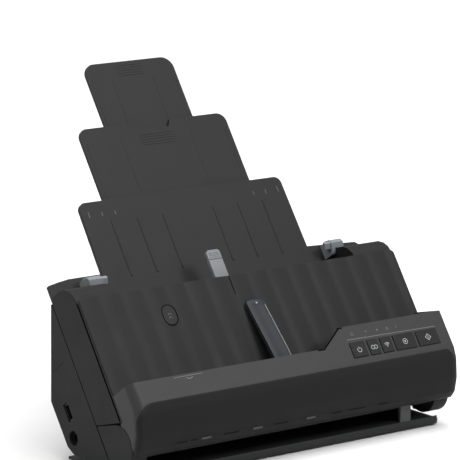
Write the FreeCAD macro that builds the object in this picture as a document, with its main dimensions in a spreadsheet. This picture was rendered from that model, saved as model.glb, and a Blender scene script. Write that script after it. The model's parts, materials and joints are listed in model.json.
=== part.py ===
# Compact desktop sheet-fed scanner, leaning back on its stand, as a parametric assembly of separate pieces.
# Two design frames are used. The "lean" frame has X along the width, Y behind the ribbed front face and
# Z up along that face, with its zero at the top front edge of the cover; it leans back by lean_angle.
# The "desk" frame is level. Both share the same origin point, which sits table_drop above the desk.
import FreeCAD, Part
import math
import os
import Sketcher
from FreeCAD import Placement, Rotation, Vector

doc = FreeCAD.newDocument("scanner")
sheet = doc.addObject("Spreadsheet::Sheet", "Dimensions")
VAL = {}


def cell(alias, value, note=""):
    row = len(VAL) + 1
    sheet.set("A%d" % row, note or alias.replace("_", " "))
    sheet.set("B%d" % row, "%.6g" % value)
    sheet.setAlias("B%d" % row, alias)
    VAL[alias] = float(value)
    return alias


# Driving dimensions, millimetres and degrees.
cell("width", 300, "overall width of the casing")
cell("lean_angle", 35, "lean of the ribbed face from vertical")
cell("table_drop", 127.5, "height of the cover's top front edge above the desk")
cell("frame_shift", -37.091, "depth shift that centres the assembly over its origin")
cell("wall", 2.5, "casing wall")
cell("band_depth", 23.8, "depth of the front shell in front of the ribbed face")
cell("ridge_low", 79, "distance from the cover's top edge down to the low ridge")
cell("ridge_high", 64.5, "distance from the cover's top edge down to the panel ridge")
cell("band_foot", 95.8, "distance from the cover's top edge down to the band's lower edge")
cell("shell_round", 8, "rounding of the front shell's left end")
cell("pivot_depth", 15.9, "cover pivot behind the ribbed face")
cell("pivot_drop", 113.4, "cover pivot below the cover's top edge")
cell("ear_radius", 17, "radius of the hinge ears")
cell("path_depth", 27, "paper path behind the ribbed face")
cell("roller_axis", 37, "driven roller axis behind the ribbed face")
cell("roller_radius", 9.8)
cell("shaft_radius", 3)
cell("shaft_play", 0.06, "radial running clearance of a shaft")
cell("feed_drop", 25, "feed roller below the cover's top edge")
cell("transport_drop", 50)
cell("exit_drop", 94)
cell("rib_count", 15)
cell("rib_depth", 0.9)
cell("panel_thick", 3)
cell("button_travel", 0.8)
cell("plate_thick", 6)
cell("plate_half", 147)
cell("pin_radius", 2)
cell("tilt_depth", 10, "tilt axis behind the datum, level frame")
cell("tilt_drop", 112, "tilt axis below the datum, level frame")

LEAN = math.radians(VAL["lean_angle"])
HALF = VAL["width"] / 2
NODES = []
LATER = []
doc.recompute()
ROLE = {"x": "YZ_Plane", "y": "XZ_Plane", "z": "XY_Plane"}


def place_lean():
    return Placement(Vector(0, VAL["frame_shift"], VAL["table_drop"]), Rotation(Vector(1, 0, 0), -VAL["lean_angle"]))


def place_desk():
    return Placement(Vector(0, VAL["frame_shift"], VAL["table_drop"]), Rotation())


def to_lean(y, z):
    """A level-frame side view point in the lean frame."""
    return (y * math.cos(LEAN) - z * math.sin(LEAN), y * math.sin(LEAN) + z * math.cos(LEAN))


def num(c):
    if isinstance(c, tuple):
        return VAL[c[0]] * (c[2] if len(c) > 2 else 1.0) + c[1]
    return float(c)


def link(obj, prop, c):
    """Binds a property to the sheet when the value names a cell, otherwise gives it a cell of its own."""
    if isinstance(c, tuple):
        obj.setExpression(prop, "Dimensions.%s * %g + %g" % (c[0], c[2] if len(c) > 2 else 1.0, c[1]))
    else:
        setattr(obj, prop, float(c))
        LATER.append((obj, prop, ("%s_%s" % (obj.Name, prop)).lower(), float(c)))


# ---- PartDesign helpers
def new_body(name, frame="lean"):
    b = doc.addObject("PartDesign::Body", name)
    b.Label = name
    b.Placement = place_lean() if frame == "lean" else place_desk()
    NODES.append(b)
    return b


def sketch(body, name, axis, at, pts=None, circles=()):
    s = body.newObject("Sketcher::SketchObject", name)
    plane = [o for o in body.Origin.OriginFeatures if o.Role == ROLE[axis]][0]
    s.AttachmentSupport = [(plane, "")]
    s.MapMode = "FlatFace"
    s.AttachmentOffset = Placement(Vector(0, 0, -at if axis == "y" else at), Rotation())
    loops = [] if pts is None else (pts if isinstance(pts[0], list) else [pts])
    for loop in loops:
        n = len(loop)
        first = s.GeometryCount
        for i in range(n):
            a, b = loop[i], loop[(i + 1) % n]
            s.addGeometry(Part.LineSegment(Vector(num(a[0]), num(a[1]), 0), Vector(num(b[0]), num(b[1]), 0)), False)
        for i in range(n):
            s.addConstraint(Sketcher.Constraint("Coincident", first + i, 2, first + (i + 1) % n, 1))
        for i in range(n):
            for kind, c in (("DistanceX", loop[i][0]), ("DistanceY", loop[i][1])):
                if isinstance(c, tuple):
                    k = s.addConstraint(Sketcher.Constraint(kind, -1, 1, first + i, 1, num(c)))
                    s.setExpression("Constraints[%d]" % k, "Dimensions.%s * %g + %g" % (c[0], c[2] if len(c) > 2 else 1.0, c[1]))
        free = [i for i in range(n) if not isinstance(loop[i][0], tuple)]
        for i in free:
            s.addConstraint(Sketcher.Constraint("DistanceX", -1, 1, first + i, 1, num(loop[i][0])))
        for i in range(n):
            if not isinstance(loop[i][1], tuple):
                s.addConstraint(Sketcher.Constraint("DistanceY", -1, 1, first + i, 1, num(loop[i][1])))
    for cx, cy, r in circles:
        g = s.addGeometry(Part.Circle(Vector(num(cx), num(cy), 0), Vector(0, 0, 1), num(r)), False)
        k = s.addConstraint(Sketcher.Constraint("Radius", g, num(r)))
        link_constraint(s, k, r)
        for kind, c in (("DistanceX", cx), ("DistanceY", cy)):
            if abs(num(c)) < 1e-9:
                s.addConstraint(Sketcher.Constraint("PointOnObject", g, 3, -2 if kind == "DistanceX" else -1))
            else:
                k = s.addConstraint(Sketcher.Constraint(kind, -1, 1, g, 3, num(c)))
                link_constraint(s, k, c)
    return s


def link_constraint(s, k, c):
    if isinstance(c, tuple):
        s.setExpression("Constraints[%d]" % k, "Dimensions.%s * %g + %g" % (c[0], c[2] if len(c) > 2 else 1.0, c[1]))


def prism(body, kind, name, axis, lo, hi, pts=None, circles=()):
    """Adds (Pad) or removes (Pocket) a prism between lo and hi along an axis."""
    before = body.Shape.Volume if kind == "Pocket" else 0.0
    at = lo if (kind == "Pad") != (axis == "y") else hi
    s = sketch(body, name + "_sketch", axis, at, pts, circles)
    f = body.newObject("PartDesign::" + kind, name)
    f.Profile = s
    link(f, "Length", hi - lo)
    s.Visibility = False
    doc.recompute()
    after = body.Shape.Volume
    if kind == "Pocket" and not after < before - 0.01:
        raise RuntimeError("%s removed nothing: %.2f to %.2f" % (name, before, after))
    return f


def pad(body, name, axis, lo, hi, pts=None, circles=()):
    return prism(body, "Pad", name, axis, lo, hi, pts, circles)


def pocket(body, name, axis, lo, hi, pts=None, circles=()):
    return prism(body, "Pocket", name, axis, lo, hi, pts, circles)


def dress(body, kind, name, size, test):
    """A Fillet or Chamfer on the edges that pass the test, dropped again if the kernel refuses it."""
    base = body.Tip
    names = ["Edge%d" % (i + 1) for i, e in enumerate(base.Shape.Edges) if test(e)]
    if not names:
        print("no edges for", name)
        return None
    f = body.newObject("PartDesign::" + kind, name)
    f.Base = (base, names)
    link(f, "Radius" if kind == "Fillet" else "Size", size)
    doc.recompute()
    if "Invalid" in f.State or "Error" in f.State or f.Shape.isNull() or not f.Shape.isValid():
        print("dropped", name)
        body.removeObject(f)
        doc.removeObject(f.Name)
        body.Tip = base
        doc.recompute()
        return None
    return f


def run_x(y, z, tol=0.25):
    return lambda e: len(e.Vertexes) == 2 and all(abs(v.Y - y) < tol and abs(v.Z - z) < tol for v in e.Vertexes) and abs(e.Vertexes[0].X - e.Vertexes[1].X) > 1


def run_any(axis, a, b, tol=0.25):
    """Straight edges along an axis at the given two other coordinates (in X, Y, Z order)."""
    def test(e):
        if len(e.Vertexes) != 2:
            return False
        p, q = [(v.X, v.Y, v.Z) for v in e.Vertexes]
        k = "xyz".index(axis)
        others = [i for i in range(3) if i != k]
        return all(abs(p[o] - t) < tol and abs(q[o] - t) < tol for o, t in zip(others, (a, b))) and abs(p[k] - q[k]) > 0.5
    return test


# ---- Part helpers
COUNT = [0]


def nm(prefix):
    COUNT[0] += 1
    return "%s%03d" % (prefix, COUNT[0])


def box(x0, x1, y0, y1, z0, z1):
    b = doc.addObject("Part::Box", nm("Block"))
    for prop, d in (("Length", num(x1) - num(x0)), ("Width", num(y1) - num(y0)), ("Height", num(z1) - num(z0))):
        link(b, prop, d)
    b.Placement = Placement(Vector(num(x0), num(y0), num(z0)), Rotation())
    return b


def rod(x0, x1, y, z, r):
    """A cylinder along X."""
    c = doc.addObject("Part::Cylinder", nm("Rod"))
    link(c, "Radius", r)
    link(c, "Height", x1 - x0)
    c.Placement = Placement(Vector(x0, num(y), num(z)), Rotation(Vector(0, 1, 0), 90))
    return c


def post(x, y, z0, z1, r):
    """A cylinder along Z."""
    c = doc.addObject("Part::Cylinder", nm("Post"))
    link(c, "Radius", r)
    link(c, "Height", z1 - z0)
    c.Placement = Placement(Vector(x, y, z0), Rotation())
    return c


def spike(x, y0, y1, z, r):
    """A cylinder along Y."""
    c = doc.addObject("Part::Cylinder", nm("Spike"))
    link(c, "Radius", r)
    link(c, "Height", y1 - y0)
    c.Placement = Placement(Vector(x, y0, z), Rotation(Vector(1, 0, 0), -90))
    return c


def fuse(items):
    if len(items) == 1:
        return items[0]
    f = doc.addObject("Part::MultiFuse", nm("Union"))
    f.Shapes = items
    return f


def cut(base, tools):
    c = doc.addObject("Part::Cut", nm("Cut"))
    c.Base = base
    c.Tool = fuse(tools)
    return c


def node(obj, label, frame="lean"):
    obj.Label = label
    pl = place_lean() if frame == "lean" else place_desk()
    obj.Placement = pl.multiply(obj.Placement) if obj.TypeId in ("Part::Box", "Part::Cylinder") else pl
    NODES.append(obj)
    return obj


# =====================================================================================================
# STAND, level frame
ty, tz = VAL["tilt_depth"], -VAL["tilt_drop"]
b = new_body("base_plate", "desk")
pad(b, "plate", "z", -126, -120, [(("plate_half", 0, -1), 18), (("plate_half", 0, -1), -59.3), (("plate_half", 6, -1), -65.3), (("plate_half", -6), -65.3), (("plate_half", 0), -59.3), (("plate_half", 0), 18)])
# dishes under the hinge ears, which come down as the body tilts forward
pocket(b, "ear_dishes", "z", -123.9, -119, [[(-150, -64.1), (-134.6, -64.1), (-134.6, 19), (-150, 19)], [(134.6, -64.1), (150, -64.1), (150, 19), (134.6, 19)]])
for sgn, tag in ((-1, "left"), (1, "right")):
    x0, x1 = sorted((sgn * 84, sgn * 96))
    pad(b, "knuckle_" + tag, "x", x0, x1, [(ty - 5.5, -121), (ty - 5.5, tz), (ty - 3.9, tz + 3.9), (ty, tz + 5.5), (ty + 3.9, tz + 3.9), (ty + 5.5, tz), (ty + 5.5, -121)])
pocket(b, "knuckle_bore", "x", -100, 100, circles=[(("tilt_depth", 0), ("tilt_drop", 0, -1), ("pin_radius", 0))])
dress(b, "Fillet", "plate_edge", 1.5, lambda e: run_any("x", -65.3, -120)(e))
pocket(b, "plate_recess", "z", -126.01, -123.5, [(-125, 10), (-125, -55), (-95, -55), (-95, 10)])

post_b = new_body("stand_post", "desk")
pad(post_b, "column", "z", -120, -104.5, [(105, -65.0), (115, -65.0), (115, -62.2), (105, -62.2)])
dress(post_b, "Fillet", "column_top", 1.0, lambda e: run_any("x", -65.0, -104.5)(e))

node(fuse([post(x, y, -127.5, -126, 7) for x in (-118, 118) for y in (-48, 8)]), "rubber_feet", "desk")
node(fuse([rod(78, 102, ("tilt_depth", 0), ("tilt_drop", 0, -1), ("pin_radius", 0)), rod(-102, -78, ("tilt_depth", 0), ("tilt_drop", 0, -1), ("pin_radius", 0))]), "tilt_pins", "desk")

# =====================================================================================================
# REAR HOUSING
hv, hw = to_lean(ty, tz)
b = new_body("rear_housing")
pad(b, "outer", "x", -HALF, HALF, [(33.5, 11), (36, 11.4), (79.5, -48.6), (79, -86), (75, -94), (64.5, -102.6), (33.5, -115.5)])
dress(b, "Fillet", "rear_corner", 3.0, lambda e: run_x(79.5, -48.6)(e) or run_x(75, -94)(e))
dress(b, "Fillet", "end_edges", 1.2, lambda e: len(e.Vertexes) == 2 and all(abs(abs(v.X) - HALF) < 0.01 for v in e.Vertexes) and min(v.Y for v in e.Vertexes) > 35.5)
pocket(b, "belly_clearance", "x", -134.8, 134.8, [(25, -118.84), (79.9, -89.15), (84, -86.9), (84, -135), (25, -135)])
pocket(b, "inner_room", "x", -147.5, 147.5, [(30, 4), (38.0, 4), (76.9, -49.6), (76.4, -85), (74.3, -88.3), (30, -112.4)])
pad(b, "screw_bosses_low", "y", 60.05, 77.5, circles=[(x, -84, 3.4) for x in (-60, 60)])
pad(b, "screw_bosses_high", "y", 60.05, 72.5, circles=[(x, -42, 3.4) for x in (-60, 60)])
pad(b, "board_posts", "y", 65.65, 77.5, circles=[(x, z, 2.0) for x in (-46, 46) for z in (-80, -52)])
pocket(b, "screw_bores", "y", 59, 67, circles=[(x, z, 1.42) for x in (-60, 60) for z in (-84, -42)])
for sgn, tag in ((-1, "left"), (1, "right")):
    for k, (p, q) in enumerate(((77.0, 82.0), (98.0, 103.0))):
        x0, x1 = sorted((sgn * p, sgn * q))
        pad(b, "boss_%s%d" % (tag, k), "x", x0, x1, circles=[(hv, hw, 6.3)])
pocket(b, "pin_bore", "x", -110, 110, circles=[(hv, hw, 2.08)])
for sgn, tag in ((-1, "left"), (1, "right")):
    x0, x1 = sorted((sgn * 82, sgn * 98))
    pocket(b, "knuckle_room_" + tag, "x", x0, x1, [to_lean(1.5, -130), to_lean(1.5, -104.0), to_lean(26, -104.0), to_lean(26, -130)])
pocket(b, "usb_port", "x", -151, -146, [(58.7, -71.8), (65.3, -71.8), (65.3, -57.8), (58.7, -57.8)])
pocket(b, "power_port", "x", -151, -146, circles=[(67.0, -84.0, 5.6)])
pocket(b, "vent_slots", "y", 60, 90, [[(x - 12, -70), (x + 12, -70), (x + 12, -68), (x - 12, -68)] for x in (-48, -16, 16, 48)])
pocket(b, "vent_slots_low", "y", 60, 90, [[(x - 12, -76), (x + 12, -76), (x + 12, -74), (x - 12, -74)] for x in (-48, -16, 16, 48)])

# MID FRAME with its two cheeks and the rear paper guide
b = new_body("mid_frame")
cheek = [(3.4, -98.6), (3.4, -2), (4.6, 4.5), (8.4, 10), (13.5, 13.6), (20, 15.5), (29.5, 15.5), (32.4, 14.2), (33.1, 11), (33.1, -88.2)]
pad(b, "cheek_left", "x", -HALF, -113, cheek)
dress(b, "Fillet", "left_rim", 1.2, lambda e: len(e.Vertexes) == 2 and all(abs(v.X + HALF) < 0.01 for v in e.Vertexes) and min(v.Z for v in e.Vertexes) > -3)
pad(b, "guide_plate", "x", -114, 114, [(29.5, -112), (29.5, 8), (32.5, 8), (32.5, -112)])
pad(b, "cheek_right", "x", 113, HALF, cheek)
pocket(b, "left_room", "x", -147.5, -115.5, [(5.9, -86), (5.9, -2), (9.5, 7.5), (15, 11.5), (22, 13), (28, 12.6), (30, 9), (40, 9), (40, -86)])
pocket(b, "right_room", "x", 115.5, 147.5, [(5.9, -86), (5.9, -2), (9.5, 7.5), (15, 11.5), (22, 13), (28, 12.6), (30, 9), (40, 9), (40, -86)])
pocket(b, "belt_notch", "x", -126.5, -116, [(28.4, -112), (28.4, -84), (40, -84), (40, -112)])
pocket(b, "roller_windows", "y", 28, 34, [[(-31.5, -36), (-6.5, -36), (-6.5, -14), (-31.5, -14)], [(6.5, -36), (31.5, -36), (31.5, -14), (6.5, -14)],
                                          [(-66, -61), (-40, -61), (-40, -39), (-66, -39)], [(40, -61), (66, -61), (66, -39), (40, -39)],
                                          [(-66, -105), (-40, -105), (-40, -83), (-66, -83)], [(40, -105), (66, -105), (66, -83), (40, -83)]])
pocket(b, "sensor_window", "y", 28, 34, [(-109, -79), (109, -79), (109, -63), (-109, -63)])
pocket(b, "latch_windows", "y", 28, 34, [[(-106, -19), (-98, -19), (-98, -7), (-106, -7)], [(98, -19), (106, -19), (106, -7), (98, -7)]])

# HINGE EARS, left and right, each a separate solid of the body
pv, pw = VAL["pivot_depth"], -VAL["pivot_drop"]
ears = []
for sgn, tag in ((-1, "left"), (1, "right")):
    b = new_body("hinge_ear_" + tag)
    x0, x1 = sorted((sgn * 136, sgn * HALF))
    pad(b, "ear", "x", x0, x1, [(33.1, -88.5), (8, -98.1), (pv, pw), (21.5, -128.9), (33.1, -121.5)])
    pad(b, "ear_round", "x", x0, x1, circles=[(("pivot_depth", 0), ("pivot_drop", 0, -1), ("ear_radius", 0))])
    dress(b, "Fillet", "ear_rim", 0.8, lambda e, s=sgn: all(abs(v.X - s * HALF) < 0.01 for v in e.Vertexes))
    a0, a1 = sorted((sgn * 136.0, sgn * 144))
    pocket(b, "ear_bore", "x", a0 - 0.01, a1 + 0.01, circles=[(("pivot_depth", 0), ("pivot_drop", 0, -1), ("pin_radius", 0.5))])
node(fuse([rod(126, 144, ("pivot_depth", 0), ("pivot_drop", 0, -1), ("pin_radius", 0.5)), rod(-144, -126, ("pivot_depth", 0), ("pivot_drop", 0, -1), ("pin_radius", 0.5))]), "cover_hinge_pins")

# CHASSIS behind the paper guide, with the drive
side = []
b = new_body("chassis")
prof = [(33.6, -104), (33.6, 1), (38, 1), (60, -30), (60, -96), (52, -99.5)]
pad(b, "side_left", "x", -110.5, -109, prof)
pad(b, "back_web", "x", -110, 110, [(58.6, -88), (58.6, -36), (60, -36), (60, -88)])
pad(b, "side_right", "x", 109, 110.5, prof)
pocket(b, "motor_room", "y", 50, 66, [(-108.9, -79.5), (-64, -79.5), (-64, -52.5), (-108.9, -52.5)])
pocket(b, "screw_holes", "y", 50, 66, circles=[(x, z, 1.5) for x in (-60, 60) for z in (-42, -84)])
pocket(b, "bearing_holes", "x", -112, 112, circles=[(("roller_axis", 0), (d, 0, -1), 4.42) for d in ("feed_drop", "transport_drop", "exit_drop")] + [(56.6, -66, 2.5)])
rings = []
for d in ("feed_drop", "transport_drop", "exit_drop"):
    for x0 in (-111.5, 108.0):
        rings.append(cut(rod(x0, x0 + 3.5, ("roller_axis", 0), (d, 0, -1), 4.4), [rod(x0 - 1, x0 + 4.5, ("roller_axis", 0), (d, 0, -1), ("shaft_radius", 0.06))]))
node(fuse(rings), "roller_bushes")

for name, d, xs in (("feed", "feed_drop", (-29.5, -8.5, 8.5, 29.5)), ("transport", "transport_drop", (-64, -42, 42, 64)), ("exit", "exit_drop", (-64, -42, 42, 64))):
    shaft = rod(-125, 114, ("roller_axis", 0), (d, 0, -1), ("shaft_radius", 0))
    node(shaft, name + "_shaft")
    tyres = []
    for k in (0, 2):
        tyres.append(cut(rod(xs[k], xs[k + 1], ("roller_axis", 0), (d, 0, -1), ("roller_radius", 0)), [rod(xs[k] - 1, xs[k + 1] + 1, ("roller_axis", 0), (d, 0, -1), ("shaft_radius", 0))]))
    node(fuse(tyres), name + "_tyres")
    pul = fuse([rod(-124, -118, ("roller_axis", 0), (d, 0, -1), 6.5), rod(-125, -124, ("roller_axis", 0), (d, 0, -1), 7.6)])
    node(cut(pul, [rod(-126, -117, ("roller_axis", 0), (d, 0, -1), ("shaft_radius", 0))]), name + "_pulley")

# motor, its pulley and the toothed belt loop around four pulleys
mv, mw = 60.0, -66.0
node(rod(-106.5, -66, 56.6, mw, 12.0), "drive_motor")
mv = 56.6
node(fuse([rod(-124, -118, mv, mw, 6.5), rod(-118.1, -106.6, mv, mw, 1.5)]), "motor_pulley")


def belt_wire(radius):
    """Convex loop around the four pulleys at one radius, in the side view plane."""
    cs = [(VAL["roller_axis"], -VAL["feed_drop"]), (mv, mw), (VAL["roller_axis"], -VAL["exit_drop"])]
    segs = []
    n = len(cs)
    tang = []
    for i in range(n):
        a, c = cs[i], cs[(i + 1) % n]
        dx, dy = c[0] - a[0], c[1] - a[1]
        ln = math.hypot(dx, dy)
        nx, ny = -dy / ln, dx / ln
        tang.append(((a[0] + nx * radius, a[1] + ny * radius), (c[0] + nx * radius, c[1] + ny * radius)))
    for i in range(n):
        p, q = tang[i]
        segs.append(Part.LineSegment(Vector(-123.5, p[0], p[1]), Vector(-123.5, q[0], q[1])).toShape())
        nxt = tang[(i + 1) % n][0]
        c = cs[(i + 1) % n]
        a0 = math.atan2(q[1] - c[1], q[0] - c[0])
        a1 = math.atan2(nxt[1] - c[1], nxt[0] - c[0])
        while a1 > a0:
            a1 -= 2 * math.pi
        am = (a0 + a1) / 2
        segs.append(Part.Arc(Vector(-123.5, q[0], q[1]), Vector(-123.5, c[0] + radius * math.cos(am), c[1] + radius * math.sin(am)), Vector(-123.5, nxt[0], nxt[1])).toShape())
    return Part.Wire(segs)


cell("belt_inner", 6.6)
cell("belt_thick", 1.2)
cell("belt_width", 5)
outer = Part.Face(belt_wire(VAL["belt_inner"] + VAL["belt_thick"])).extrude(Vector(VAL["belt_width"], 0, 0))
inner = Part.Face(belt_wire(VAL["belt_inner"])).extrude(Vector(VAL["belt_width"], 0, 0))
belt = doc.addObject("Part::Feature", "drive_belt_shape")
belt.Shape = outer.cut(inner)
node(belt, "drive_belt")

# rear image sensor, its glass, the boards and the sockets
node(cut(box(-108, 108, 31.6, 44, -78, -64), [box(-104, 104, 31.5, 33, -74, -68)]), "rear_sensor_bar")
node(box(-108.5, 108.5, 29.6, 31.6, -78.5, -63.5), "rear_sensor_glass")
b = new_body("main_board")
pad(b, "board", "y", 64, 65.6, [(-50, -84), (50, -84), (50, -47), (-50, -47)])
for tag, x0, x1, z0, z1, y1 in (("a", -20, -4, -70, -56, 67.2), ("b", -42, -30, -74, -60, 67.6), ("c", 4, 12, -80, -72, 67)):
    pad(b, "chip_" + tag, "y", 65.6, y1, [(x0, z0), (x1, z0), (x1, z1), (x0, z1)])
node(fuse([box(20, 41, 65.6, 68.6, -64, -51)]), "wireless_module")
b = new_body("port_board")
pad(b, "board", "x", -135, -133.4, [(56, -92), (56, -54), (74, -54), (74, -88)])
node(cut(box(-149, -135, 58.9, 65.1, -71.6, -58), [box(-150, -138, 59.9, 64.1, -70.6, -59)]), "usb_socket")
node(fuse([cut(rod(-147.4, -135, 67.0, -84.0, 5.4), [rod(-148, -137, 67.0, -84.0, 3.4)]), rod(-146, -135.5, 67.0, -84.0, 1.0)]), "power_socket")

# =====================================================================================================
# INPUT TRAY
b = new_body("input_tray")
pad(b, "wings", "y", 34, 37.5, [(-147, 11.6), (147, 11.6), (147, 21), (143.5, 23.5), (97, 26), (96, 88), (-96, 88), (-97, 28.9), (-128, 28.9), (-137.3, 27.7), (-147, 26)])
dress(b, "Fillet", "tray_top", 6, lambda e: run_any("y", -96, 88)(e) or run_any("y", 96, 88)(e))
pocket(b, "tray_channel", "y", 36.3, 38, [(-30, 30), (30, 30), (30, 82), (-30, 82)])
b = new_body("tray_extension")
pad(b, "leaf", "y", 37.8, 40.2, [(-70, 78), (70, 78), (70, 150), (-70, 150)])
dress(b, "Fillet", "leaf_corners", 8, lambda e: run_any("y", -70, 150)(e) or run_any("y", 70, 150)(e))
pocket(b, "finger_notch", "y", 37, 41, [(-14, 144), (14, 144), (18, 151), (-18, 151)])
b = new_body("tray_tip")
pad(b, "leaf", "y", 40.5, 42.6, [(-42, 142), (42, 142), (42, 205), (-42, 205)])
dress(b, "Fillet", "tip_corners", 10, lambda e: run_any("y", -42, 205)(e) or run_any("y", 42, 205)(e))

for sgn, tag in ((-1, "left"), (1, "right")):
    b = new_body("edge_guide_" + tag)
    x0, x1 = sorted((sgn * 109, sgn * 121))
    pad(b, "fin", "x", x0, x1, [(33.9, 16.2), (33.9, 23.2), (27, 25.0), (21, 23.4), (19, 20.2), (20.8, 16.2)])
    f0, f1 = sorted((sgn * 109, sgn * 112.5))
    pad(b, "foot", "x", f0, f1, [(33.9, 12), (33.9, 17), (20.6, 17), (22.5, 13), (24, 12)])
    a0, a1 = sorted((sgn * 109.0, sgn * 103.5))
    pad(b, "lip", "x", a0 - 0.2 if sgn > 0 else a0, a1 if sgn > 0 else a1 + 0.2, [(25.3, 17), (25.3, 20.8), (21.2, 22.4), (20.2, 20.4), (22.6, 16.4)])
    dress(b, "Fillet", "fin_edges", 1.0, lambda e, s=sgn: all(abs(abs(v.X) - 121) < 0.01 for v in e.Vertexes))

# =====================================================================================================
# COVER: ribbed panel, inner frame, front shell
b = new_body("ribbed_panel")
count = int(VAL["rib_count"])
pitch = 291.0 / count
pts = [(-149.6, 3), (-149.6, 0.9), (-148.8, 0.2), (-145.5, 0)]
for i in range(count):
    x = -145.5 + i * pitch
    pts += [(x + pitch * 0.30, 0.25), (x + pitch * 0.66, 0.75), (x + pitch * 0.86, 0.9)]
    if i < count - 1:
        pts.append((x + pitch, 0.0))
pts += [(145.5, 0), (148.8, 0.2), (149.6, 0.9), (149.6, 3)]
pad(b, "fluted", "z", -99.5, 0, pts)
pocket(b, "left_top_corner", "y", -2, 5, [(-151, -5), (-149.2, -2.2), (-147.3, -0.6), (-144.5, 1), (-151, 1)])
pocket(b, "right_top_corner", "y", -2, 5, [(151, -5), (149.2, -2.2), (147.3, -0.6), (144.5, 1), (151, 1)])
pocket(b, "latch_hole", "y", -2, 5, [[(-76.2 + 6.4 * math.cos(math.radians(t)), -23.9 + (2.0 if math.sin(math.radians(t)) > 0 else -2.0) + 6.4 * math.sin(math.radians(t))) for t in (15, 45, 75, 105, 135, 165, 195, 225, 255, 285, 315, 345)]])
pocket(b, "arm_groove", "y", -2, 0.35 + 1.0, [(-12.1, -16), (-11.1, -16), (-11.1, 1), (-12.1, 1)])

b = new_body("cover_frame")
fr = [(3.1, -104), (3.1, -3.5), (23.5, -3.5), (24.5, -8), (24.5, -104)]
pad(b, "block", "x", -111.5, 111.5, fr)
pocket(b, "hollow", "x", -109.5, 109.5, [(2, -101.5), (2, -6.0), (23.0, -6.0), (23.0, -101.5)])
pocket(b, "pinch_windows", "y", 21, 26, [[(-29, -34), (29, -34), (29, -16), (-29, -16)],
                                         [(-64, -59), (-42, -59), (-42, -41), (-64, -41)], [(42, -59), (64, -59), (64, -41), (42, -41)],
                                         [(-64, -101), (-42, -101), (-42, -86), (-64, -86)], [(42, -101), (64, -101), (64, -86), (42, -86)]])
pocket(b, "sensor_window", "y", 21, 26, [(-108.6, -79), (108.6, -79), (108.6, -63), (-108.6, -63)])
pocket(b, "arm_slot", "z", -7, -2, [(-19.0, 7.2), (-4.0, 7.2), (-4.0, 12.0), (-19.0, 12.0)])
pocket(b, "hook_windows", "y", 21, 26, [[(-106, -18), (-98, -18), (-98, -8), (-106, -8)], [(98, -18), (106, -18), (106, -8), (98, -8)]])

b = new_body("front_shell")
outer_pts = [(("band_depth", 0, -1), ("ridge_high", 0, -1)), (("band_depth", 0, -1), ("band_foot", 0, -1)), (-21.6, -104.0), (-13.8, -116.8), (-5.2, -125.2), (1.5, -127.2), (14.4, -124.4), (19.2, -121.5), (3.0, -112), (3.0, -99.7), (-0.1, -99.7), (-0.1, -55), (-21.0, -63.3)]
pad(b, "outer", "x", -HALF, HALF, outer_pts)
dress(b, "Fillet", "face_belly", 14, lambda e: run_x(-21.6, -104.0)(e) or run_x(-13.8, -116.8)(e))
dress(b, "Fillet", "lip_round", 3, lambda e: run_x(-5.2, -125.2)(e) or run_x(1.5, -127.2)(e))
dress(b, "Fillet", "left_round", 7, lambda e: len(e.Vertexes) == 2 and all(abs(v.X + HALF) < 0.01 for v in e.Vertexes) and max(v.Y for v in e.Vertexes) < -12 and min(v.Z for v in e.Vertexes) > -121)
pocket(b, "low_ridge", "y", -40, 10, [(-151, ("ridge_low", 0, -1)), (30, ("ridge_low", 0, -1)), (50, ("ridge_high", 0, -1)), (50, -50), (-151, -50)])
pocket(b, "trough", "x", -145.5, 145.5, [(-20.9, -40), (-20.9, -95.3), (-18.9, -103.6), (-11.3, -115.3), (-3.4, -122.4), (2.3, -124.2), (13.6, -121.7), (17.3, -119.8), (40, -106), (40, -40)])
for sgn, tag in ((-1, "left"), (1, "right")):
    x0, x1 = sorted((sgn * 128.5, sgn * 135.4))
    pad(b, "lug_" + tag, "x", x0, x1, [(-22.0, -98), (pv - 2, pw + 8.2), (pv + 5, pw + 6.5), (pv + 8, pw), (pv + 4, pw - 7.5), (3, -125.5), (-6, -123.0), (-15.0, -112)])
    r0, r1 = sorted((sgn * 135.5, sgn * 151))
    pocket(b, "ear_relief_" + tag, "x", r0, r1, circles=[(("pivot_depth", 0), ("pivot_drop", 0, -1), ("ear_radius", 0.5))])
pocket(b, "pivot_bore", "x", -140, 140, circles=[(("pivot_depth", 0), ("pivot_drop", 0, -1), ("pin_radius", 0.58))])
pocket(b, "post_notch", "x", 103.5, 116.5, circles=[(("pivot_depth", 0), ("pivot_drop", 0, -1), 24.0)])
pocket(b, "button_windows", "y", -26, -18, [[(x0, z0), (x1, z0), (x1, z1), (x0, z1)] for x0, x1, z0, z1 in ((53.6, 68.6, -90.8, -78.0), (70.2, 80.9, -90.8, -78.0), (82.5, 93.8, -90.8, -78.0), (95.4, 116.4, -90.8, -78.0), (118.0, 139.3, -90.8, -78.0))])

# output guide and the two posts that carry the lever
b = new_body("output_guide")
pad(b, "ramp", "x", -102, 102, [(-3.0, -119.5), (-16.0, -106.8), (-19.8, -96), (-17.8, -96), (-14.2, -106), (-2.0, -117.2), (3.0, -115.0), (3.0, -117.3)])
for x0, x1, tag in ((-12.5, -8.6, "a"), (8.6, 12.5, "b")):
    pad(b, "lever_post_" + tag, "x", x0, x1, [(-16.3, -105.8), (-16.3, -94), (-14, -88.5), (-10.5, -88.5), (-7.5, -92), (-7.5, -112)])
pocket(b, "lever_bore", "x", -13, 13, circles=[(-12.2, -92.5, 1.5)])
node(rod(-12.5, 12.5, -12.2, -92.5, 1.5), "lever_pin")

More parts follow.
